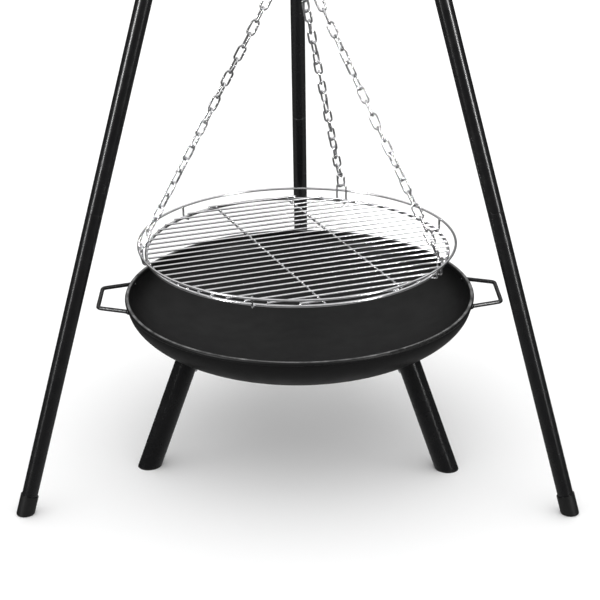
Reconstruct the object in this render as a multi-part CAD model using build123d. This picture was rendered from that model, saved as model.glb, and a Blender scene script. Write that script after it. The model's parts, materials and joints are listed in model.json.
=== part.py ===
from build123d import *
import math
import os

# Campfire tripod grill: a three-legged tripod, a wire grate hung from it on chains, and a
# free-standing fire bowl under the grate. Millimetres, +Z up, ground at z = 0, open front at -Y.
# Everything is drawn around the vertical hanging axis of the tripod and then moved by AXIS_Y,
# which puts the origin at the middle of the overall box on the ground.

# ------------------------------------------------------------------ driving dimensions
AXIS_Y = -126.5
LEG_AZIMUTH = {"left": 210.0, "right": 330.0, "back": 90.0}

# Tripod legs: three plug-in sections of round tube, leaning in to the head.
FOOT_RADIUS = 507.3
LEAN = math.atan2(507.3 - 30.0, 1536.3)
SECTION = 510.0
TUBE_D = 25.4
TUBE_WALL = 1.2
SEAM_CHAMFER = 0.9
SPIGOT_D = 22.8
SPIGOT_WALL = 1.2
SPIGOT_LENGTH = 45.0
TUBE_START = 8.0
CAP_D = 29.0
CAP_LENGTH = 33.0
CAP_ROUNDING = 2.5
HINGE_ALONG = 1512.0

# Head: round plate with three channel brackets under it.
HEAD_D = 150.0
HEAD_T = 4.0
HEAD_Z = 1468.0
SHEET = 3.0
CHEEK_GAP = 26.4
STOP_GAP = 0.3
HINGE_D = 8.0
HINGE_HOLE_D = 8.15
HINGE_HEX = 13.0
HINGE_HEAD_T = 5.3
HINGE_NUT_T = 7.5
HINGE_WASHER_D = 16.0
HINGE_WASHER_T = 1.6

# Eye bolt, oval link and swivel that hang from the head.
EYE_BOLT_D = 10.0
EYE_BOLT_HEX = 17.0
EYE_BOLT_NUT_T = 8.0
EYE_BOLT_WASHER_D = 21.0
EYE_BOLT_WASHER_T = 2.0
EYE_WIRE = 7.0
EYE_RADIUS = 13.5
OVAL_WIRE = 6.0
OVAL_WIDTH = 18.0
OVAL_NUT_HEX = 10.0
OVAL_NUT_T = 14.0
SWIVEL_WIRE = 6.0
SWIVEL_RADIUS = 9.5
SWIVEL_BARREL_D = 14.0
SWIVEL_BARREL_T = 19.0
SWIVEL_PIN_D = 6.0
SWIVEL_PIN_HEAD_D = 10.0
SWIVEL_PIN_HEAD_T = 5.0
LOWER_EYE_WIRE = 5.0
LOWER_EYE_RADIUS = 8.0
FIT = 0.05
WELD_GAP = 0.05

# Long-link chain.
LINK_WIRE = 3.4
LINK_PITCH = 22.5
LINK_WIDTH = 15.0
LINK_PLAY = 0.05
MAIN_LINKS = 24
STRAND_LINKS = 21

# Forked disc that grips one link of the main chain and carries the three strands.
GRAB_Z = 822.0
GRAB_D = 44.0
GRAB_T = 3.0
GRAB_SLOT = 4.0
GRAB_SLOT_END = 8.0
GRAB_HOLE_D = 7.0
GRAB_HOLE_RADIUS = 14.4

# Open hooks between the strands and the hanging loops of the grate.
HOOK_WIRE = 3.5
HOOK_RADIUS = 6.5
HOOK_EYE_RADIUS = 4.8
HOOK_SHANK = 6.0
HOOK_TIP = 12.0
HOOK_FLARE = 2.0

# Grate: welded round wire.
LOWER_RING_RADIUS = 251.8
LOWER_RING_WIRE = 5.0
LOWER_RING_Z = 361.6
GUARD_RING_RADIUS = 264.0
GUARD_RING_WIRE = 4.0
GUARD_RING_Z = 376.5
BAR_ANGLE = 20.6
BAR_WIRE = 3.5
BAR_PITCH = 20.7
BAR_COUNT = 24
CROSS_BAR_WIRE = 4.0
CROSS_BAR_OFFSETS = (-55.0, 79.0)
CROSS_BAR_SKEW = 3.0
LOOP_AZIMUTH = {"back": 72.7, "left": 192.7, "right": 331.7}
LOOP_WIRE = 3.5
LOOP_WIDTH = 17.0
LOOP_RISE = 12.0
POST_AZIMUTH = (20.5, 141.5, 255.5)
POST_WIRE = 3.5

# Twist of each strand from its first to its last link, in degrees, and how it builds up.
STRAND_TWIST = {"left": (45.0, 2.0), "right": (225.0, 1.0), "back": (405.0, 1.0)}
HOOK_TURN = -45.0

# Fire bowl on three splayed tube legs.
BOWL_CENTRE = (2.4, 48.0)
BOWL_RIM_Z = 266.4
BOWL_RIM_RADIUS = 300.0
BOWL_BEAD = 8.0
BOWL_WALL_RADIUS = 297.0
BOWL_SHEET = 2.0
BOWL_FLAT_RADIUS = 60.0
BOWL_DEPTH = 99.8
BOWL_KNUCKLE = 92.0
HANDLE_TURN = 1.9
HANDLE_WIRE = 7.0
HANDLE_DROP = 10.4
HANDLE_REACH = 343.5
HANDLE_GRIP = 88.0
HANDLE_BASE = 130.0
HANDLE_BEND = 9.0
BOWL_LEG_TURN = -1.3
BOWL_LEG_D = 38.0
BOWL_LEG_WALL = 1.5
BOWL_LEG_RADIUS = 292.0
BOWL_LEG_LEAN = math.radians(23.05)
BOWL_CAP_T = 3.0
BOWL_CAP_PLUG = 14.0
BOWL_SOCKET_D = 34.6
BOWL_SOCKET_LENGTH = 40.0
BOWL_SCREW_D = 6.0
BOWL_SCREW_HEAD_D = 11.0


# ------------------------------------------------------------------ helpers
def polar(radius, azimuth, z=0.0):
    """The point at a radius and an azimuth in degrees around the hanging axis."""
    turn = math.radians(azimuth)
    return Vector(radius * math.cos(turn), radius * math.sin(turn), z)


def around(azimuth):
    """The turn about the hanging axis that takes azimuth 0 to the given one."""
    return Location((0, 0, 0), (0, 0, azimuth))


def rod(path, diameter):
    """Round wire of the given diameter along a path."""
    return sweep(Plane(origin=path @ 0, z_dir=path % 0) * Circle(diameter / 2), path=path)


def disc(radius, low, high):
    """An upright round disc between two heights."""
    return Pos(0, 0, low) * Cylinder(radius, high - low, align=(Align.CENTER, Align.CENTER, Align.MIN))


def hexagon(across_flats, low, high):
    """An upright hexagonal prism between two heights."""
    outline = RegularPolygon(across_flats / 2 / math.cos(math.pi / 6), 6)
    return Pos(0, 0, low) * extrude(outline, high - low)


def oval(wire, width, height):
    """A closed oval loop in the XZ plane. The wire's centre at the top of the loop is the origin."""
    half = width / 2
    straight = height - width
    left = Line((-half, 0, -half), (-half, 0, -half - straight))
    bottom = ThreePointArc(left @ 1, (0, 0, -height), (half, 0, -half - straight))
    right = Line(bottom @ 1, (half, 0, -half))
    top = ThreePointArc(right @ 1, (0, 0, 0), left @ 0)
    return rod(Wire([left, bottom, right, top]), wire)


def save(name, *solids):
    """Moves the solids of one node from the hanging axis into the part's frame and writes them."""
    shape = solids[0] if len(solids) == 1 else Compound(children=list(solids))
    export_step(shape.moved(Location((0, AXIS_Y, 0))), f"parts/{name}.step")


# ------------------------------------------------------------------ tripod legs
def leg_frame():
    """The frame of the leg at azimuth 0: origin on the ground, Z up along the tube, X outward."""
    return Plane(
        origin=(FOOT_RADIUS, 0, 0),
        x_dir=(math.cos(LEAN), 0, math.sin(LEAN)),
        z_dir=(-math.sin(LEAN), 0, math.cos(LEAN)),
    ).location


def leg_section(start, end, spigot):
    """One tube section; a spigot is the drawn-in end that plugs into the section above."""
    outer = TUBE_D / 2
    inner = outer - TUBE_WALL
    points = [(inner, start), (outer - SEAM_CHAMFER, start), (outer, start + SEAM_CHAMFER)]
    if spigot:
        plug = SPIGOT_D / 2
        bore = plug - SPIGOT_WALL
        points += [(outer, end - SEAM_CHAMFER), (outer - SEAM_CHAMFER, end), (plug, end)]
        points += [(plug, end + SPIGOT_LENGTH), (bore, end + SPIGOT_LENGTH)]
        points += [(bore, end - 3 * TUBE_WALL), (inner, end - 5 * TUBE_WALL)]
    else:
        points += [(outer, end), (inner, end)]
    profile = Plane.XZ * make_face(Polyline(*points, close=True))
    return revolve(profile, Axis.Z, 360)


def foot_cap():
    """Plastic cap on the end of a leg, cut level with the ground and rounded at its foot."""
    body = disc(CAP_D / 2, -CAP_D, CAP_LENGTH)
    placed = leg_frame() * body
    standing = split(placed, bisect_by=Plane.XY, keep=Keep.TOP)
    standing = fillet(standing.edges().sort_by(Axis.Z)[0], CAP_ROUNDING)
    return standing - leg_frame() * disc(TUBE_D / 2, TUBE_START, CAP_LENGTH + 1)


def make_legs():
    place = leg_frame()
    hinge_hole = Pos(0, 0, HINGE_ALONG) * Rot(90, 0, 0) * Cylinder(HINGE_HOLE_D / 2, 2 * TUBE_D)
    sections = {
        "lower": leg_section(TUBE_START, SECTION, True),
        "middle": leg_section(SECTION, 2 * SECTION, True),
        "upper": leg_section(2 * SECTION, 3 * SECTION, False) - hinge_hole,
    }
    cap = foot_cap()
    for side, azimuth in LEG_AZIMUTH.items():
        turn = around(azimuth)
        for part, section in sections.items():
            save(f"leg_{side}_{part}_tube", turn * place * section)
        save(f"leg_{side}_foot_cap", turn * cap)


# ------------------------------------------------------------------ head
def leg_bracket():
    """Channel bracket at azimuth 0: two cheeks and, above the hinge, a web that stops the leg."""
    inner_x = -TUBE_D / 2 - STOP_GAP
    outer_x = TUBE_D / 2 + 1
    half_y = CHEEK_GAP / 2 + SHEET
    low = HINGE_ALONG - 18
    high = HINGE_ALONG + 60
    centre_x = (inner_x - SHEET + outer_x) / 2
    size_x = outer_x - inner_x + SHEET
    block = Pos(centre_x, 0, (low + high) / 2) * Box(size_x, 2 * half_y, high - low)
    channel = Pos(inner_x + 50, 0, (low + high) / 2) * Box(100, CHEEK_GAP, high - low + 2)
    below_web = Pos(0, 0, low) * Box(100, CHEEK_GAP, 2 * (HINGE_ALONG + 2 - low))
    hole = Pos(0, 0, HINGE_ALONG) * Rot(90, 0, 0) * Cylinder(HINGE_D / 2, 4 * TUBE_D)
    bracket = leg_frame() * (block - channel - below_web - hole)
    return split(bracket, bisect_by=Plane.XY.offset(HEAD_Z), keep=Keep.BOTTOM)


def hinge_hardware():
    """The hinge bolt, its two washers and its nut at azimuth 0, along the hinge axis."""
    half = CHEEK_GAP / 2 + SHEET
    outside = half + HINGE_WASHER_T
    shank = disc(HINGE_D / 2, -outside, outside + HINGE_NUT_T + 1)
    bolt = shank + hexagon(HINGE_HEX, -outside - HINGE_HEAD_T, -outside)
    washer = disc(HINGE_WASHER_D / 2, half, outside) - disc(HINGE_D / 2, half - 1, outside + 1)
    nut = hexagon(HINGE_HEX, outside, outside + HINGE_NUT_T) - disc(HINGE_D / 2, outside - 1, 4 * outside)
    lie = leg_frame() * Pos(0, 0, HINGE_ALONG) * Rot(-90, 0, 0)
    return lie * bolt, [lie * washer, lie * mirror(washer, about=Plane.XY)], lie * nut


def make_head():
    plate = disc(HEAD_D / 2, HEAD_Z, HEAD_Z + HEAD_T) - disc(EYE_BOLT_D / 2, HEAD_Z - 1, HEAD_Z + 9)
    rims = plate.edges().filter_by(GeomType.CIRCLE).group_by(SortBy.RADIUS)[-1]
    save("head_plate", fillet(rims, 1.2))
    bracket = leg_bracket()
    bolt, washers, nut = hinge_hardware()
    turns = [around(azimuth) for azimuth in LEG_AZIMUTH.values()]
    for side, azimuth in LEG_AZIMUTH.items():
        save(f"leg_bracket_{side}", around(azimuth) * bracket)
    save("hinge_bolts", *[turn * bolt for turn in turns])
    save("hinge_washers", *[turn * washer for turn in turns for washer in washers])
    save("hinge_nuts", *[turn * nut for turn in turns])


# ------------------------------------------------------------------ hanging gear
EYE_COLLAR_T = 3.0
EYE_Z = HEAD_Z - EYE_COLLAR_T - EYE_RADIUS - EYE_WIRE / 2 + 1.0
OVAL_TOP_Z = EYE_Z - EYE_RADIUS + EYE_WIRE / 2 + OVAL_WIRE / 2 + FIT
LAST_LINK_TOP_Z = GRAB_Z - LINK_WIRE / 2 - LINK_PLAY
FIRST_LINK_TOP_Z = LAST_LINK_TOP_Z + (MAIN_LINKS - 1) * LINK_PITCH
LOWER_EYE_Z = FIRST_LINK_TOP_Z - LINK_WIRE / 2 - LINK_PLAY - LOWER_EYE_WIRE / 2 + LOWER_EYE_RADIUS
PIN_SHOULDER_Z = LOWER_EYE_Z + LOWER_EYE_RADIUS + 16.0
BARREL_TOP_Z = PIN_SHOULDER_Z + SWIVEL_BARREL_T - 8.0
SWIVEL_EYE_Z = BARREL_TOP_Z + SWIVEL_RADIUS
SWIVEL_TOP_Z = SWIVEL_EYE_Z + SWIVEL_RADIUS
OVAL_HEIGHT = OVAL_TOP_Z - SWIVEL_TOP_Z + SWIVEL_WIRE / 2 + OVAL_WIRE / 2 + FIT


def ring_in_yz(radius, wire, z):
    """An upright ring whose hole faces along X."""
    return Pos(0, 0, z) * Rot(0, 90, 0) * Torus(radius, wire / 2)


def ring_in_xz(radius, wire, z):
    """An upright ring whose hole faces along Y."""
    return Pos(0, 0, z) * Rot(90, 0, 0) * Torus(radius, wire / 2)


def make_hanging_gear():
    top = HEAD_Z + HEAD_T
    shank = disc(EYE_BOLT_D / 2, HEAD_Z - 1, top + EYE_BOLT_WASHER_T + EYE_BOLT_NUT_T + 3)
    collar = disc(EYE_BOLT_D, HEAD_Z - EYE_COLLAR_T, HEAD_Z)
    save("eye_bolt", shank + collar + ring_in_yz(EYE_RADIUS, EYE_WIRE, EYE_Z))
    bore = disc(EYE_BOLT_D / 2, HEAD_Z, top + 30)
    washer_top = top + EYE_BOLT_WASHER_T
    save("eye_bolt_washer", disc(EYE_BOLT_WASHER_D / 2, top, washer_top) - bore)
    save("eye_bolt_nut", hexagon(EYE_BOLT_HEX, washer_top, washer_top + EYE_BOLT_NUT_T) - bore)

    save("oval_link", Pos(0, 0, OVAL_TOP_Z) * oval(OVAL_WIRE, OVAL_WIDTH, OVAL_HEIGHT))
    nut_low = OVAL_TOP_Z - OVAL_HEIGHT / 2 - OVAL_NUT_T / 2
    sleeve = hexagon(OVAL_NUT_HEX, nut_low, nut_low + OVAL_NUT_T)
    sleeve -= disc(OVAL_WIRE / 2, nut_low - 1, nut_low + OVAL_NUT_T + 1)
    save("oval_link_nut", Pos(OVAL_WIDTH / 2, 0, 0) * sleeve)

    barrel = disc(SWIVEL_BARREL_D / 2, BARREL_TOP_Z - SWIVEL_BARREL_T, BARREL_TOP_Z)
    barrel += ring_in_yz(SWIVEL_RADIUS, SWIVEL_WIRE, SWIVEL_EYE_Z)
    head_room = SWIVEL_PIN_HEAD_D / 2 + 2 * FIT
    barrel -= disc(head_room, PIN_SHOULDER_Z, PIN_SHOULDER_Z + SWIVEL_PIN_HEAD_T + 0.5)
    barrel -= disc(SWIVEL_PIN_D / 2 + FIT, BARREL_TOP_Z - SWIVEL_BARREL_T - 1, PIN_SHOULDER_Z + 1)
    save("swivel_eye", barrel)
    pin = disc(SWIVEL_PIN_HEAD_D / 2, PIN_SHOULDER_Z + FIT, PIN_SHOULDER_Z + SWIVEL_PIN_HEAD_T)
    pin += disc(SWIVEL_PIN_D / 2, LOWER_EYE_Z + LOWER_EYE_RADIUS, PIN_SHOULDER_Z + 1)
    save("swivel_pin", pin + ring_in_xz(LOWER_EYE_RADIUS, LOWER_EYE_WIRE, LOWER_EYE_Z))

    link = chain_link()
    links = []
    for index in range(MAIN_LINKS):
        height = FIRST_LINK_TOP_Z - index * LINK_PITCH
        links.append(Location((0, 0, height), (0, 0, 90 if index % 2 == 0 else 0)) * link)
    save("main_chain", *links)


def chain_link():
    """One long link in the XZ plane, hanging from its top bend at the origin."""
    return oval(LINK_WIRE, LINK_WIDTH - LINK_WIRE, LINK_PITCH + LINK_WIRE + LINK_PLAY)


def make_chain_grab():
    """Forked disc: the slot holds one link edge-on, so the crossed link below it carries the disc."""
    plate = disc(GRAB_D / 2, GRAB_Z, GRAB_Z + GRAB_T)
    slot_length = GRAB_SLOT_END + GRAB_D
    slot = Pos(0, GRAB_SLOT_END - slot_length / 2, GRAB_Z) * Box(GRAB_SLOT, slot_length, 4 * GRAB_T)
    plate -= slot
    for azimuth in LOOP_AZIMUTH.values():
        hole = disc(GRAB_HOLE_D / 2, GRAB_Z - 1, GRAB_Z + GRAB_T + 1)
        plate -= Pos(*polar(GRAB_HOLE_RADIUS, azimuth)) * hole
    save("chain_grab", plate)


# ------------------------------------------------------------------ strands and hooks
LOOP_TOP_Z = GUARD_RING_Z + LOOP_RISE
LOOP_REACH = GUARD_RING_RADIUS - GUARD_RING_WIRE / 2 - LOOP_WIRE / 2 - WELD_GAP
LOOP_RADIUS = math.sqrt(LOOP_REACH**2 - (LOOP_WIDTH / 2) ** 2)
STRAND_TOP = Vector(20.4, 0, GRAB_Z + 0.7)
LOOP_TOP = Vector(LOOP_RADIUS, 0, LOOP_TOP_Z)


def hook(eye_height):
    """Open hook in the XZ plane: bend centre at the origin, closed eye above it, tip towards +X."""
    right = (HOOK_RADIUS, 0, 0)
    left = (-HOOK_RADIUS, 0, 0)
    tip = [(HOOK_RADIUS + HOOK_FLARE, 0, HOOK_TIP), (HOOK_RADIUS, 0, HOOK_TIP / 2), right]
    shank = [left, (-HOOK_RADIUS, 0, HOOK_SHANK), (-HOOK_EYE_RADIUS, 0, eye_height)]
    edges = [*FilletPolyline(*tip, radius=HOOK_RADIUS).edges()]
    edges.append(ThreePointArc(right, (0, 0, -HOOK_RADIUS), left))
    edges += FilletPolyline(*shank, radius=HOOK_RADIUS).edges()
    eye = Pos(0, 0, eye_height) * Rot(90, 0, 0) * Torus(HOOK_EYE_RADIUS, HOOK_WIRE / 2)
    return rod(Wire(edges), HOOK_WIRE) + eye


def make_strands():
    """The three strands at azimuth 0, each twisted along its length, with its hook below."""
    down = (LOOP_TOP - STRAND_TOP).normalized()
    sideways = Vector(0, 1, 0)
    outward = down.cross(sideways)
    first_top = STRAND_TOP - down * ((LINK_WIDTH - LINK_WIRE) / 2)
    last_bottom = first_top + down * (STRAND_LINKS * LINK_PITCH + LINK_WIRE + LINK_PLAY)
    bend_bottom = LOOP_TOP + down * (LOOP_WIRE / 2 + HOOK_WIRE / 2 + LINK_PLAY)
    bend_centre = bend_bottom - down * HOOK_RADIUS
    eye_top = HOOK_WIRE / 2 + LINK_WIRE / 2 + LINK_PLAY
    eye_height = (bend_centre - last_bottom).length + eye_top - HOOK_EYE_RADIUS
    link = chain_link()
    ready_hook = hook(eye_height)
    for side, azimuth in LOOP_AZIMUTH.items():
        total, power = STRAND_TWIST[side]
        links = []
        for index in range(STRAND_LINKS):
            share = (index / (STRAND_LINKS - 1)) ** power
            turn = math.radians(90 * index + total * share)
            across = outward * math.cos(turn) + sideways * math.sin(turn)
            place = Plane(origin=first_top + down * (index * LINK_PITCH), x_dir=across, z_dir=down * -1)
            links.append(around(azimuth) * place.location * link)
        save(f"strand_chain_{side}", *links)
        turn = math.radians(HOOK_TURN)
        across = outward * math.cos(turn) + sideways * math.sin(turn)
        place = Plane(origin=bend_centre, x_dir=across, z_dir=down * -1)
        save(f"hook_{side}", around(azimuth) * place.location * ready_hook)


# ------------------------------------------------------------------ grate
def bent_wire(points, bend, wire):
    """Round wire through the points, with one bend radius."""
    return rod(FilletPolyline(*points, radius=bend), wire)


def make_grate():
    save("grate_lower_ring", Pos(0, 0, LOWER_RING_Z) * Torus(LOWER_RING_RADIUS, LOWER_RING_WIRE / 2))
    save("grate_guard_ring", Pos(0, 0, GUARD_RING_Z) * Torus(GUARD_RING_RADIUS, GUARD_RING_WIRE / 2))

    bar_z = LOWER_RING_Z + LOWER_RING_WIRE / 2 + BAR_WIRE / 2
    bars = []
    for index in range(BAR_COUNT):
        offset = (index - (BAR_COUNT - 1) / 2) * BAR_PITCH
        half = math.sqrt(LOWER_RING_RADIUS**2 - offset**2)
        bars.append(Pos(0, offset, bar_z) * Rot(0, 90, 0) * Cylinder(BAR_WIRE / 2, 2 * half))
    save("grate_bars", *[around(BAR_ANGLE) * bar for bar in bars])

    cross_z = bar_z - BAR_WIRE / 2 - CROSS_BAR_WIRE / 2
    inside = disc(LOWER_RING_RADIUS - LOWER_RING_WIRE / 2 - WELD_GAP, 0, GRAB_Z)
    turn = Rot(0, 0, BAR_ANGLE + CROSS_BAR_SKEW)
    cross_bars = []
    for offset in CROSS_BAR_OFFSETS:
        bar = Rot(90, 0, 0) * Cylinder(CROSS_BAR_WIRE / 2, 2 * LOWER_RING_RADIUS)
        cross_bars.append((turn * Pos(offset, 0, cross_z) * bar) & inside)
    save("grate_cross_bars", *cross_bars)

    under = LOWER_RING_Z - LOWER_RING_WIRE / 2 - POST_WIRE / 2
    post = bent_wire(
        [(LOWER_RING_RADIUS - 4, 0, under), (LOOP_RADIUS, 0, under), (LOOP_RADIUS, 0, GUARD_RING_Z + 2)],
        6.0,
        POST_WIRE,
    )
    save("grate_posts", *[around(azimuth) * post for azimuth in POST_AZIMUTH])

    half = LOOP_WIDTH / 2
    loop = bent_wire(
        [
            (LOWER_RING_RADIUS - 4, -half, under),
            (LOOP_RADIUS, -half, under),
            (LOOP_RADIUS, -half, LOOP_TOP_Z),
            (LOOP_RADIUS, half, LOOP_TOP_Z),
            (LOOP_RADIUS, half, under),
            (LOWER_RING_RADIUS - 4, half, under),
        ],
        5.0,
        LOOP_WIRE,
    )
    for side, azimuth in LOOP_AZIMUTH.items():
        save(f"grate_loop_{side}", around(azimuth) * loop)


# ------------------------------------------------------------------ fire bowl
BOWL_BOTTOM_Z = BOWL_RIM_Z - BOWL_DEPTH
BOWL_KNUCKLE_Z = BOWL_BOTTOM_Z + BOWL_KNUCKLE
BEAD_Z = BOWL_RIM_Z - BOWL_BEAD / 2
BEAD_RADIUS = BOWL_RIM_RADIUS - BOWL_BEAD / 2


def dish(shrink, top_z):
    """The solid dish inside one skin of the bowl, filled up to a height."""
    width = BOWL_WALL_RADIUS - BOWL_FLAT_RADIUS - shrink
    depth = BOWL_KNUCKLE - shrink
    low = BOWL_KNUCKLE_Z - depth
    edge = BOWL_WALL_RADIUS - shrink
    arc = EllipticalCenterArc(
        (BOWL_FLAT_RADIUS, BOWL_KNUCKLE_Z), width, depth, start_angle=270, arc_size=90
    )
    outline = [
        Line((0, low), (BOWL_FLAT_RADIUS, low)),
        arc,
        Line((edge, BOWL_KNUCKLE_Z), (edge, top_z)),
        Line((edge, top_z), (0, top_z)),
        Line((0, top_z), (0, low)),
    ]
    return revolve(Plane.XZ * make_face(outline), Axis.Z, 360)


def bowl_leg_frame():
    """The frame of the bowl leg at azimuth 0: origin on the ground, Z up along the tube."""
    return Plane(
        origin=(BOWL_LEG_RADIUS, 0, 0),
        x_dir=(math.cos(BOWL_LEG_LEAN), 0, math.sin(BOWL_LEG_LEAN)),
        z_dir=(-math.sin(BOWL_LEG_LEAN), 0, math.cos(BOWL_LEG_LEAN)),
    ).location


def make_bowl():
    stand = Location((BOWL_CENTRE[0], BOWL_CENTRE[1], 0))
    trim = dish(-WELD_GAP, BOWL_RIM_Z)
    shell = dish(0.0, BEAD_Z) - dish(BOWL_SHEET, BEAD_Z + 1)
    shell += Pos(0, 0, BEAD_Z) * Torus(BEAD_RADIUS, BOWL_BEAD / 2)
    save("bowl_shell", stand * shell)

    handle_z = BOWL_RIM_Z - HANDLE_DROP
    inset = math.sqrt(BOWL_WALL_RADIUS**2 - (HANDLE_BASE / 2) ** 2) - 6
    grip = HANDLE_GRIP / 2
    base = HANDLE_BASE / 2
    bar = bent_wire(
        [
            (inset, -base, handle_z),
            (HANDLE_REACH, -grip, handle_z),
            (HANDLE_REACH, grip, handle_z),
            (inset, base, handle_z),
        ],
        HANDLE_BEND,
        HANDLE_WIRE,
    )
    handle = bar - trim - Pos(0, 0, BEAD_Z) * Torus(BEAD_RADIUS, BOWL_BEAD / 2 + WELD_GAP)
    save("bowl_handle_right", stand * around(HANDLE_TURN) * handle)
    save("bowl_handle_left", stand * around(HANDLE_TURN + 180) * handle)

    place = bowl_leg_frame()
    reach = 1.4 * BOWL_BOTTOM_Z
    outside = place * disc(BOWL_LEG_D / 2, -BOWL_LEG_D, reach)
    bore = place * disc(BOWL_LEG_D / 2 - BOWL_LEG_WALL, -BOWL_LEG_D, reach + 1)
    level = Pos(BOWL_LEG_RADIUS, 0, 0) * Box(200, 200, 2 * BOWL_CAP_T)
    ground = Pos(BOWL_LEG_RADIUS, 0, -100) * Box(200, 200, 200)
    tube = outside - bore - level - ground - trim
    plug = place * disc(BOWL_LEG_D / 2 - BOWL_LEG_WALL, -BOWL_LEG_D, BOWL_CAP_PLUG + BOWL_CAP_T)
    cap = (outside & level) + plug - ground
    along = (BOWL_BOTTOM_Z + 27) / math.cos(BOWL_LEG_LEAN)
    socket = place * disc(BOWL_SOCKET_D / 2, along - BOWL_SOCKET_LENGTH, reach) - trim
    screw_turn = Pos(-BOWL_LEG_D / 2, 0, along - BOWL_SOCKET_LENGTH + 14) * Rot(0, -90, 0)
    screw_hole = place * screw_turn * disc(BOWL_SCREW_D / 2, -10, 1)
    screw = disc(BOWL_SCREW_D / 2, -10, 1) + disc(BOWL_SCREW_HEAD_D / 2, 0, 3.5)
    seat = place * screw_turn * disc(BOWL_SCREW_HEAD_D / 2 + 0.1, 0, 4)
    screw = place * screw_turn * screw - (outside - screw_hole - seat)
    names = {"left": 210.0, "right": 330.0, "back": 90.0}
    turns = {side: stand * around(azimuth + BOWL_LEG_TURN) for side, azimuth in names.items()}
    for side, turn in turns.items():
        save(f"bowl_leg_{side}", turn * (tube - screw_hole))
        save(f"bowl_leg_cap_{side}", turn * cap)
    save("bowl_leg_sockets", *[turn * (socket - screw_hole) for turn in turns.values()])
    save("bowl_leg_screws", *[turn * screw for turn in turns.values()])


os.makedirs("parts", exist_ok=True)
make_legs()
make_head()
make_hanging_gear()
make_chain_grab()
make_strands()
make_grate()
make_bowl()
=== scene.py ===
import json
import math
import random

import bmesh
import bpy
import numpy as np
from mathutils import Matrix, Vector


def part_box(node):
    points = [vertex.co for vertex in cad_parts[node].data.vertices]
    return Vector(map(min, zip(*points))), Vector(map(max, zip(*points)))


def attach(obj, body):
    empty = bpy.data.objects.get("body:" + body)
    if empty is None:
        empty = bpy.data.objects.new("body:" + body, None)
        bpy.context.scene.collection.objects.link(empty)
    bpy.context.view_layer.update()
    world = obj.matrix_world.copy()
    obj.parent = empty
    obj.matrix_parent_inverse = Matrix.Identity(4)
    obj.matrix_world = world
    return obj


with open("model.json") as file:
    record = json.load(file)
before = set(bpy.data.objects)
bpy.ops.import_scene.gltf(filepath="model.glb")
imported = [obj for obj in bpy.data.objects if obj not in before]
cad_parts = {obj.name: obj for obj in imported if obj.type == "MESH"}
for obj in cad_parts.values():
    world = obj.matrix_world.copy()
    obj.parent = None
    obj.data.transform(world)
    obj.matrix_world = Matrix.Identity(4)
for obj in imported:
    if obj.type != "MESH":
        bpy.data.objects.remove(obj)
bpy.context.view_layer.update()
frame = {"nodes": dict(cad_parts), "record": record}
NODES = frame["nodes"]
SLOT_OF = {part["node"]: part["material_slot"] for part in frame["record"]["subparts"]}
MM = 0.001
TAU = 2 * math.pi
SIDES = ("left", "right", "back")

# Camera: metres, radians, and millimetres for the lens.
CAMERA_PLACE = (0.0419, -2.5669, 1.2921)
PAN, PITCH, ROLL = math.radians(-0.890), math.radians(22.794), math.radians(-0.527)
LENS = 93.58
SENSOR_WIDTH = 36.0

# Floor and surroundings. The mirrored greys are (height, grey), from 0 straight down to 1 straight up.
FLOOR_HALF_SIZE = 30.0
FLOOR_COLOUR = (0.93, 0.93, 0.93, 1)
TENT_STRENGTH = 1.29
MIRRORED_GREYS = ((0.0, 0.40), (0.20, 0.26), (0.30, 0.05), (0.62, 0.025), (0.71, 0.65), (0.85, 1.0))
MIRRORED_AHEAD, MIRRORED_SIDEWAYS = 0.85, 1.15
SIDEWAYS_FROM = 0.6

# Strip lights: a stack of boxes on each side, each with a share of full power, from the floor up.
STRIP_ACROSS, STRIP_ALONG = 2.4, -2.0
STRIP_WIDTH, STRIP_STEP = 0.26, 0.4
STRIP_POWER = 23.0
STRIP_SHARES = (0.08, 0.25, 0.60, 1.0, 1.0, 1.0)

# A painted highlight on the bowl's rim: a light grey is painted in from this far under the top of the rim,
# and fully from here.
RIM_HIGHLIGHT_START, RIM_HIGHLIGHT_FULL = 0.9 * MM, 0.3 * MM

# Welds. A profile is (distance along, radius) pairs. A collar's are shares of its reach and of the
# wire's radius, a nugget's are shares of its height and size, and a fillet's are millimetres.
COLLAR = ((-1.0, 0.98), (-0.55, 1.10), (-0.2, 1.24), (0.1, 1.27), (0.5, 1.12), (1.0, 0.98))
COLLAR_REACH = 1.9
COLLAR_TURNS, COLLAR_WOBBLE = 12, 0.03
NUGGET = ((-1.0, 0.35), (-0.6, 0.8), (0.0, 1.0), (0.6, 0.8), (1.0, 0.35))
NUGGET_TURNS, NUGGET_WOBBLE = 10, 0.10
FILLET = ((-3.0, 4.6), (-1.2, 5.6), (0.6, 5.2), (2.0, 4.4), (3.2, 3.6))
FILLET_TURNS, FILLET_WOBBLE = 18, 0.05

# A link's weld is on the side that points right, and up counts this much against right.
UP_AGAINST_RIGHT = 0.4

# The size and height of the nuggets on the grate, and where they sit on a bar's end.
BAR_END_NUGGET = (2.5 * MM, 1.5 * MM)
CROSSING_NUGGET = (2.3 * MM, 1.1 * MM)
UPRIGHT_NUGGET = (2.4 * MM, 2.0 * MM)
BAR_END_INSET = 1.2 * MM
BAR_END_DROP = 0.9

# How much of a handle's rod counts as its root at the shell, and as its far corner.
ROOT_LENGTH, CORNER_LENGTH = 3 * MM, 12 * MM


def add_object(name, data):
    """A new object in the scene."""
    thing = bpy.data.objects.new(name, data)
    bpy.context.scene.collection.objects.link(thing)
    return thing


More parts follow.
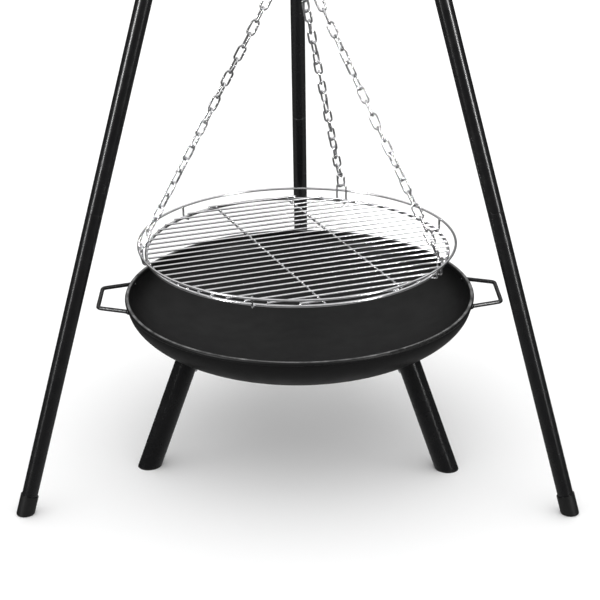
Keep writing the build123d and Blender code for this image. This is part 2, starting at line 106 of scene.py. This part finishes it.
class Nodes:
    """Short calls for making and joining the nodes of one tree."""

    def __init__(self, tree):
        self.tree = tree

    def feed(self, socket, value):
        """Gives an input a constant, or links another node's output to it."""
        if isinstance(value, bpy.types.NodeSocket):
            self.tree.links.new(value, socket)
        else:
            socket.default_value = value

    def add(self, kind, **inputs):
        """A new node with some of its inputs fed. An underscore in a name stands for a space."""
        node = self.tree.nodes.new(kind)
        for name, value in inputs.items():
            self.feed(node.inputs[name.replace("_", " ")], value)
        return node


# ------------------------------------------------------------------ camera, floor and light
def make_camera():
    """The camera stands in front of the open side and looks down on the grate."""
    data = bpy.data.cameras.new("camera")
    data.sensor_width = SENSOR_WIDTH
    data.lens = LENS
    turn = Matrix.Rotation(-PAN, 4, "Z") @ Matrix.Rotation(math.pi / 2 - PITCH, 4, "X")
    turn = turn @ Matrix.Rotation(ROLL, 4, "Z")
    camera = add_object("camera", data)
    camera.matrix_world = Matrix.Translation(CAMERA_PLACE) @ turn
    bpy.context.scene.camera = camera


def make_floor():
    """A flat pale studio floor that fills the camera's view. Glossy surfaces don't show it."""
    bm = bmesh.new()
    bmesh.ops.create_grid(bm, x_segments=1, y_segments=1, size=FLOOR_HALF_SIZE)
    mesh = bpy.data.meshes.new("studio_floor")
    bm.to_mesh(mesh)
    bm.free()
    paint = Shader("floor_paint")
    paint.set(Base_Color=FLOOR_COLOUR, Roughness=0.9, Specular_IOR_Level=0.0)
    mesh.materials.append(paint.material)
    floor = add_object("studio_floor", mesh)
    floor.visible_glossy = False


def make_surroundings():
    """An even white tent for the floor. What glossy surfaces mirror is bright above, dark round the
    horizon, and a little brighter to the sides than ahead."""
    world = bpy.data.worlds.new("tent")
    bpy.context.scene.world = world
    world.use_nodes = True
    world.node_tree.nodes.clear()
    tree = Nodes(world.node_tree)
    direction = tree.add("ShaderNodeTexCoord").outputs["Generated"]
    split = tree.add("ShaderNodeSeparateXYZ", Vector=direction)
    height = tree.add("ShaderNodeMapRange", Value=split.outputs["Z"], From_Min=-1.0)
    ramp = tree.add("ShaderNodeValToRGB", Fac=height.outputs["Result"])
    while len(ramp.color_ramp.elements) < len(MIRRORED_GREYS):
        ramp.color_ramp.elements.new(0.5)
    for element, (position, grey) in zip(ramp.color_ramp.elements, MIRRORED_GREYS):
        element.position = position
        element.color = (grey, grey, grey, 1)
    sideways = tree.add("ShaderNodeMath")
    sideways.operation = "ABSOLUTE"
    tree.feed(sideways.inputs[0], split.outputs["X"])
    strength = tree.add("ShaderNodeMapRange", Value=sideways.outputs["Value"], From_Max=SIDEWAYS_FROM,
                        To_Min=MIRRORED_AHEAD, To_Max=MIRRORED_SIDEWAYS)
    mirrored = tree.add("ShaderNodeBackground", Color=ramp.outputs["Color"],
                        Strength=strength.outputs["Result"])
    tent = tree.add("ShaderNodeBackground", Color=(1, 1, 1, 1), Strength=TENT_STRENGTH)
    path = tree.add("ShaderNodeLightPath")
    mix = tree.add("ShaderNodeMixShader", Fac=path.outputs["Is Glossy Ray"])
    tree.feed(mix.inputs[1], tent.outputs["Background"])
    tree.feed(mix.inputs[2], mirrored.outputs["Background"])
    tree.add("ShaderNodeOutputWorld", Surface=mix.outputs["Shader"])


def make_light():
    """Tall strip boxes that only glossy surfaces show, dimmer towards the floor, for the lines down
    the tubes."""
    bpy.context.scene.view_settings.view_transform = "Standard"
    for side in (-1, 1):
        for index, share in enumerate(STRIP_SHARES):
            data = bpy.data.lights.new(f"strip_{index}", "AREA")
            data.shape = "RECTANGLE"
            data.size, data.size_y = STRIP_WIDTH, STRIP_STEP
            data.energy = STRIP_POWER * share
            lamp = add_object(f"strip_{index}", data)
            level = STRIP_STEP * (index + 0.5)
            lamp.location = (STRIP_ACROSS * side, STRIP_ALONG, level)
            towards = Vector((0, 0, level)) - lamp.location
            lamp.rotation_euler = towards.to_track_quat("-Z", "Y").to_euler()
            lamp.visible_diffuse = False


# ------------------------------------------------------------------ materials
class Shader(Nodes):
    """A Principled material with short calls for the nodes that the finishes share."""

    def __init__(self, name):
        self.material = bpy.data.materials.new(name)
        self.material.use_nodes = True
        super().__init__(self.material.node_tree)
        self.out = self.tree.nodes["Principled BSDF"]
        self.place = self.add("ShaderNodeTexCoord").outputs["Object"]

    def set(self, **values):
        for name, value in values.items():
            self.feed(self.out.inputs[name.replace("_", " ")], value)

    def noise(self, scale, detail):
        return self.add("ShaderNodeTexNoise", Vector=self.place, Scale=scale, Detail=detail).outputs["Fac"]

    def ramp(self, value, low, high, start=0.3, end=0.7):
        """Maps a value between two thresholds onto a range."""
        node = self.add("ShaderNodeMapRange", Value=value, From_Min=start, From_Max=end,
                        To_Min=low, To_Max=high)
        return node.outputs["Result"]

    def mix(self, value, low, high):
        """A colour between two; each is three numbers or another node's output."""
        node = self.add("ShaderNodeMix")
        node.data_type = "RGBA"
        self.feed(node.inputs["Factor"], value)
        for socket, colour in ((node.inputs[6], low), (node.inputs[7], high)):
            self.feed(socket, (*colour, 1) if isinstance(colour, tuple) else colour)
        return node.outputs[2]

    def height(self):
        """The height above the ground at rest, in metres."""
        return self.add("ShaderNodeSeparateXYZ", Vector=self.place).outputs["Z"]

    def product(self, first, second):
        node = self.add("ShaderNodeMath")
        node.operation = "MULTIPLY"
        self.feed(node.inputs[0], first)
        self.feed(node.inputs[1], second)
        return node.outputs["Value"]

    def bump(self, value, depth, strength, before=None):
        """A relief, its depth in metres, on top of the one before it if there is one."""
        node = self.add("ShaderNodeBump", Height=value, Distance=depth, Strength=strength)
        if before is not None:
            self.feed(node.inputs["Normal"], before)
        self.set(Normal=node.outputs["Normal"])
        return node.outputs["Normal"]


def finish(name, cloud, dark, light, sheen, roughness, grain, depth, strength, **constants):
    """A finish with a cloudy colour, uneven gloss and a fine relief.

    cloud, sheen and grain are each the scale and detail of a noise, and go with what follows them.
    """
    shader = Shader(name)
    shader.set(Base_Color=shader.mix(shader.noise(*cloud), dark, light))
    shader.set(Roughness=shader.ramp(shader.noise(*sheen), *roughness))
    shader.bump(shader.noise(*grain), depth, strength)
    shader.set(**constants)
    return shader.material


def powder_coat():
    """Gloss black powder coat: a fine orange peel, and cloudy gloss."""
    return finish(
        "powder_coat_black", cloud=(14, 4), dark=(0.005, 0.005, 0.0055), light=(0.010, 0.010, 0.0105),
        sheen=(60, 3), roughness=(0.20, 0.30), grain=(900, 2), depth=0.00003, strength=0.15,
        Specular_IOR_Level=0.42)


def bowl_paint():
    """Satin heat-proof paint on pressed steel: fine grain, slow changes of sheen, and a painted
    highlight along the top of the rim."""
    # The third colour, steel, is not bare metal showing through: it is the light grey of a painted
    # highlight along the top of the rim.
    dark, light, steel = (0.0045, 0.0045, 0.0046), (0.0065, 0.0065, 0.0066), (0.24, 0.24, 0.24)
    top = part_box("bowl_shell")[1][2]
    shader = Shader("bowl_steel")
    paint = shader.mix(shader.noise(7, 4), dark, light)
    # Painted highlight: near the top of the rim bead the colour is mixed towards light grey, in patches
    # set by noise.
    rim = shader.ramp(shader.height(), 0.0, 1.0, top - RIM_HIGHLIGHT_START, top - RIM_HIGHLIGHT_FULL)
    painted_rim_highlight = shader.product(rim, shader.ramp(shader.noise(45, 4), 0.1, 1.0))
    shader.set(Base_Color=shader.mix(painted_rim_highlight, paint, steel))
    shader.set(Roughness=shader.ramp(shader.noise(30, 4), 0.40, 0.50))
    grain = shader.bump(shader.noise(1500, 3), depth=0.00004, strength=0.35)
    shader.bump(shader.noise(55, 2), depth=0.0002, strength=0.12, before=grain)
    shader.set(Specular_IOR_Level=0.17)
    return shader.material


def chrome():
    """Bright chrome plate on drawn wire."""
    return finish(
        "chrome_wire", cloud=(120, 3), dark=(0.62, 0.62, 0.63), light=(0.78, 0.78, 0.79),
        sheen=(260, 3), roughness=(0.10, 0.22), grain=(700, 3), depth=0.00004, strength=0.25,
        Metallic=1.0)


def zinc():
    """Bright zinc plate, a little cloudy."""
    return finish(
        "zinc_plated", cloud=(180, 4), dark=(0.52, 0.53, 0.55), light=(0.68, 0.68, 0.69),
        sheen=(240, 3), roughness=(0.24, 0.40), grain=(1200, 3), depth=0.00003, strength=0.3,
        Metallic=1.0)


def plastic():
    """Moulded black plastic with a fine spark-eroded grain."""
    return finish(
        "black_plastic", cloud=(40, 3), dark=(0.006, 0.006, 0.006), light=(0.010, 0.010, 0.010),
        sheen=(90, 3), roughness=(0.38, 0.50), grain=(2200, 2), depth=0.00005, strength=0.4,
        Specular_IOR_Level=0.3)


MATERIALS = {
    "powder_coat_black": powder_coat(),
    "bowl_steel": bowl_paint(),
    "chrome_wire": chrome(),
    "zinc_plated": zinc(),
    "black_plastic": plastic(),
}


def dress_cad_nodes():
    """Every CAD node takes the finish of its slot."""
    for name, node in NODES.items():
        node.data.materials.clear()
        node.data.materials.append(MATERIALS[SLOT_OF[name]])


# ------------------------------------------------------------------ reading the CAD nodes
def points_of(name):
    """The vertices of a CAD node in the shared frame."""
    node = NODES[name]
    flat = np.empty(3 * len(node.data.vertices))
    node.data.vertices.foreach_get("co", flat)
    turn = np.array(node.matrix_world)
    return flat.reshape(-1, 3) @ turn[:3, :3].T + turn[:3, 3]


def solids_of(name):
    """The vertices of each separate solid in a CAD node, found by following the edges.

    Vertices that round to the same micrometre count as one.
    """
    places = points_of(name)
    cells = np.round(places / (0.001 * MM)).astype(np.int64)
    _, same = np.unique(cells, axis=0, return_inverse=True)
    same = same.reshape(-1)
    edges = np.empty(2 * len(NODES[name].data.edges), dtype=np.int32)
    NODES[name].data.edges.foreach_get("vertices", edges)
    first, second = same[edges].reshape(-1, 2).T
    label = np.arange(same.max() + 1)
    while True:
        lowest = label.copy()
        np.minimum.at(lowest, first, label[second])
        np.minimum.at(lowest, second, label[first])
        lowest = lowest[lowest]
        if np.array_equal(lowest, label):
            break
        label = lowest
    owner = label[same]
    return [places[owner == one] for one in np.unique(owner)]


def axes_of(points):
    """The middle of a solid, its long, middle and short directions, and its half sizes along them."""
    spread = points - points.mean(axis=0)
    _, directions = np.linalg.eigh(spread.T @ spread)
    directions = directions.T[::-1]
    along = points @ directions.T
    low, high = along.min(axis=0), along.max(axis=0)
    return directions.T @ ((low + high) / 2), directions, (high - low) / 2


# ------------------------------------------------------------------ welds
def lathe(bm, middle, axis, profile, turns, wobble, draw):
    """A closed turned form on an axis, with each of its points in or out by up to the wobble."""
    axis = Vector(axis).normalized()
    across = axis.orthogonal().normalized()
    beside = axis.cross(across)
    rings = []
    for along, radius in profile:
        ring = []
        for step in range(turns):
            angle = TAU * step / turns
            reach = radius * (1 + draw.uniform(-wobble, wobble))
            offset = axis * along + (across * math.cos(angle) + beside * math.sin(angle)) * reach
            ring.append(bm.verts.new(Vector(middle) + offset))
        rings.append(ring)
    for one, other in zip(rings, rings[1:]):
        for step in range(turns):
            after = (step + 1) % turns
            bm.faces.new((one[step], one[after], other[after], other[step]))
    bm.faces.new(list(reversed(rings[0])))
    bm.faces.new(rings[-1])


def scaled(profile, length, radius):
    """A profile with its distances times a length and its radii times a radius."""
    return [(along * length, share * radius) for along, share in profile]


def nugget(bm, middle, size, height, draw):
    """A small flat spot weld: wide where the two wires meet, and squeezed out a little unevenly."""
    lathe(bm, middle, (0, 0, 1), scaled(NUGGET, height, size), NUGGET_TURNS, NUGGET_WOBBLE, draw)


def finish_piece(bm, name, slot, body):
    """Turns a bmesh into a smooth piece that rides on a body."""
    bmesh.ops.recalc_face_normals(bm, faces=bm.faces)
    mesh = bpy.data.meshes.new(name)
    bm.to_mesh(mesh)
    bm.free()
    mesh.polygons.foreach_set("use_smooth", [True] * len(mesh.polygons))
    mesh.materials.append(MATERIALS[slot])
    piece = add_object(name, mesh)
    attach(piece, body)


def chain_welds(name, chains, body):
    """The closing weld of every link: a low collar halfway down one side of it."""
    draw = random.Random(3)
    bm = bmesh.new()
    for chain in chains:
        for link in solids_of(chain):
            middle, (long, wide, _), (_, half_width, wire) = axes_of(link)
            side = 1 if wide[0] + UP_AGAINST_RIGHT * wide[2] > 0 else -1
            place = middle + side * wide * (half_width - wire)
            profile = scaled(COLLAR, COLLAR_REACH * wire, wire)
            lathe(bm, place, long, profile, COLLAR_TURNS, COLLAR_WOBBLE, draw)
    finish_piece(bm, name, "chrome_wire", body)


def weld_bar_ends(bm, bars, wire, draw):
    """A spot weld under each end of every bar, on the lower ring."""
    for middle, (along, _, _), (half, _, _) in bars:
        for end in (-1, 1):
            place = middle + end * along * (half - BAR_END_INSET)
            place[2] -= BAR_END_DROP * wire
            nugget(bm, place, *BAR_END_NUGGET, draw)


def weld_crossings(bm, bars, wire, draw):
    """A spot weld wherever a bar lies on a cross bar."""
    for cross in solids_of("grate_cross_bars"):
        start, (run, _, _), (reach, _, _) = axes_of(cross)
        for middle, (along, _, _), (half, _, _) in bars:
            share, other = np.linalg.solve(np.array([run[:2], -along[:2]]).T, (middle - start)[:2])
            if abs(share) < reach and abs(other) < half:
                place = start + share * run
                place[2] = middle[2] - wire
                nugget(bm, place, *CROSSING_NUGGET, draw)


def weld_uprights(bm, wire, draw):
    """Spot welds that hold the posts and both shanks of every hanging loop, inside the guard ring and
    under the lower ring."""
    centre = np.array(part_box("grate_guard_ring")).mean(axis=0)
    uprights = solids_of("grate_posts")
    for side in SIDES:
        uprights += solids_of(f"grate_loop_{side}")
    for ring, inside, under in (("grate_guard_ring", 1, 0), ("grate_lower_ring", 0, 1)):
        low, high = (np.array(corner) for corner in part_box(ring))
        ring_wire = (high[2] - low[2]) / 2
        ring_radius = (high[0] - low[0]) / 2 - ring_wire
        reach = ring_radius - inside * ring_wire
        level = (high[2] + low[2]) / 2 - under * ring_wire
        for upright in uprights:
            middle = upright.mean(axis=0)
            azimuth = math.atan2(middle[1] - centre[1], middle[0] - centre[0])
            tangent = np.array([-math.sin(azimuth), math.cos(azimuth), 0.0])
            spread = (upright - middle) @ tangent
            half = (spread.max() - spread.min()) / 2 - wire
            for step in ((-half, half) if half > wire else (0.0,)):
                turn = azimuth + step / ring_radius
                place = (centre[0] + reach * math.cos(turn), centre[1] + reach * math.sin(turn), level)
                nugget(bm, place, *UPRIGHT_NUGGET, draw)


def grate_welds():
    """All the spot welds of the grate, as one piece."""
    draw = random.Random(5)
    bm = bmesh.new()
    bars = [axes_of(bar) for bar in solids_of("grate_bars")]
    wire = bars[0][2][2]
    weld_bar_ends(bm, bars, wire, draw)
    weld_crossings(bm, bars, wire, draw)
    weld_uprights(bm, wire, draw)
    finish_piece(bm, "grate_welds", "chrome_wire", "grate")


def handle_welds():
    """The rippled fillet of weld round each end of both handles."""
    draw = random.Random(9)
    bm = bmesh.new()
    low, high = (np.array(corner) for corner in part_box("bowl_shell"))
    centre = (low + high) / 2
    flat = (1, 1, 0)
    for side in ("left", "right"):
        rod = points_of(f"bowl_handle_{side}")
        reach = np.hypot(*(rod - centre)[:, :2].T)
        outward = (rod.mean(axis=0) - centre) * flat
        outward /= np.linalg.norm(outward)
        tangent = np.array([-outward[1], outward[0], 0.0])
        for end in (-1, 1):
            mine = end * ((rod - centre) @ tangent) > 0
            root = rod[mine & (reach < reach[mine].min() + ROOT_LENGTH)].mean(axis=0)
            further = rod[mine & (reach > reach[mine].max() - CORNER_LENGTH)]
            corner = further[(end * ((further - centre) @ tangent)).argmax()]
            along = (corner - root) * flat
            root[2] = (rod[:, 2].max() + rod[:, 2].min()) / 2
            lathe(bm, root, along, scaled(FILLET, MM, MM), FILLET_TURNS, FILLET_WOBBLE, draw)
    finish_piece(bm, "handle_welds", "powder_coat_black", "bowl")


make_camera()
make_floor()
make_surroundings()
make_light()
dress_cad_nodes()
chain_welds("strand_welds", [f"strand_chain_{side}" for side in SIDES], "grate")
chain_welds("main_chain_welds", ["main_chain"], "chain")
grate_welds()
handle_welds()
